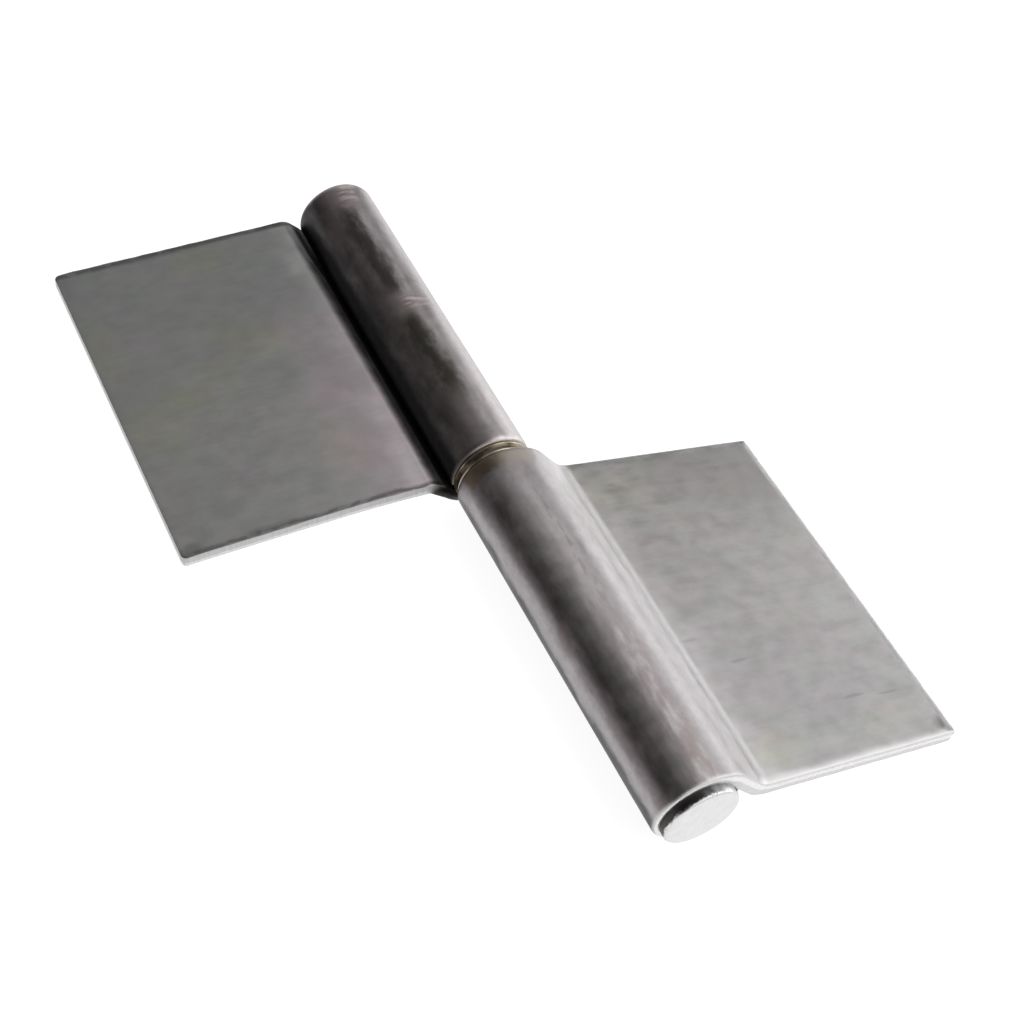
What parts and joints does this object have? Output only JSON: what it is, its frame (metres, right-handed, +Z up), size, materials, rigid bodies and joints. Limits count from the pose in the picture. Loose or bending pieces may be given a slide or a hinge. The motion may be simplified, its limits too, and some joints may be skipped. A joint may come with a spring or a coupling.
{
  "type": "weld-on hinge",
  "caption": "Weld-on lift-off hinge of curled steel sheet: offset leaves on a headed pin with a brass washer between the knuckles, so one leaf swings right round and lifts off.",
  "frame": {"origin": "on the surface the open hinge lies on, under the middle of its length and of its width", "axes": "+Y along the pin from its head towards its free end, +Z up from the surface, +X towards the leaf that holds the pin"},
  "size_m": [0.1094, 0.1418, 0.0155],
  "materials": {
    "pin_leaf_steel": "bare rolled sheet, fine grain and a thin tinted oil film",
    "lift_leaf_steel": "bare rolled sheet, fine grain and a thin tinted oil film",
    "pin_steel": "bare drawn rod, the head pressed smooth",
    "washer_brass": "bare turned brass"
  },
  "bodies": {
    "pin_side": {"pin_leaf": "pin_leaf_steel", "hinge_pin": "pin_steel"},
    "washer": {"brass_washer": "washer_brass"},
    "lift_side": {"lift_leaf": "lift_leaf_steel"}
  },
  "joints": [
    {"name": "swing", "type": "hinge", "parent": "pin_side", "child": "washer", "pos_m": [0, 0.00093, 0.00786], "axis": [0, 1, 0], "continuous": true},
    {"name": "lift_off", "type": "slide", "parent": "washer", "child": "lift_side", "axis": [0, 1, 0], "range_m": [0, 0.07]}
  ]
}
